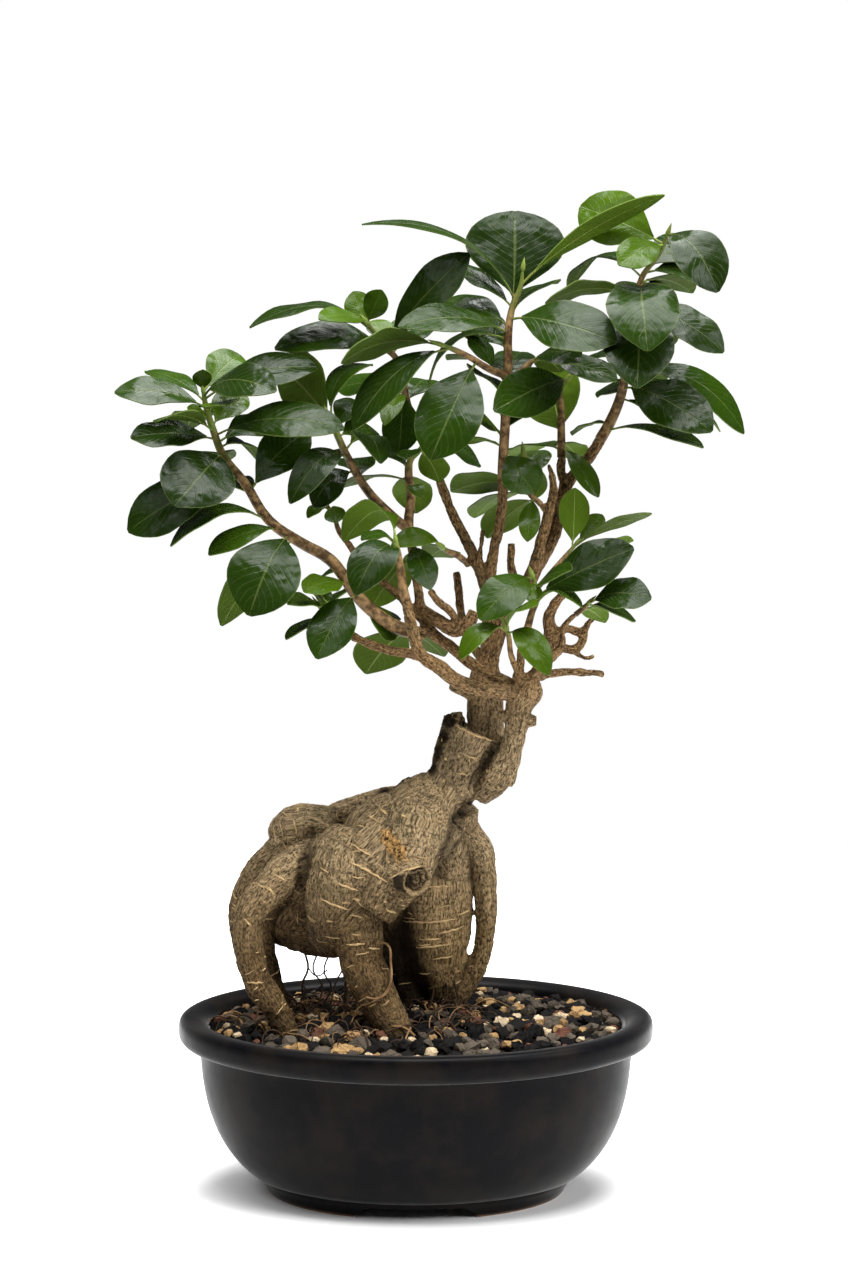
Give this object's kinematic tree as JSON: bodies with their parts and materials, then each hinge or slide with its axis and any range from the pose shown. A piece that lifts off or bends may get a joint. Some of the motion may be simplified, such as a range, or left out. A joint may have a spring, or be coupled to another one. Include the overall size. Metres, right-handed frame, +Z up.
{
  "type": "ficus ginseng bonsai",
  "caption": "Fig tree on swollen grafted roots with leafy shoots, standing in granular soil in an oval glazed pot with a rolled lip.",
  "frame": {"origin": "centre of the whole object's box, on the surface that the pot stands on", "axes": "+Z up, -Y towards the front of the tree, +X to the right along the pot's long side"},
  "size_m": [0.2608, 0.152, 0.4199],
  "materials": {
    "glazed_pot": "charcoal satin glaze, bare brown clay on the foot",
    "soil": "mixed granules of black lava, grey and cream pumice and rust-coloured clay, 3 to 10 mm",
    "screen": "black plastic mesh",
    "bark": "grey-brown bark with pale cross marks and fine lines",
    "foliage": "leathery leaves, dark and glossy above, paler olive below"
  },
  "bodies": {
    "root": {"pot": "glazed_pot", "soil": "soil", "drain_screen_left": "screen", "drain_screen_right": "screen", "trunk": "bark", "leafy_stem_left": "foliage", "leafy_stem_low_left": "foliage", "leafy_stem_round_leaf": "foliage", "leafy_stem_front": "foliage", "leafy_stem_middle": "foliage", "leafy_stem_upper_middle": "foliage", "leafy_stem_top": "foliage", "leafy_stem_right": "foliage", "leafy_stem_upright": "foliage", "leafy_stem_centre": "foliage", "leafy_stem_low_right": "foliage", "leafy_stem_drooping": "foliage", "leafy_stem_far_right": "foliage", "leafy_stem_inner": "foliage"}
  },
  "joints": []
}
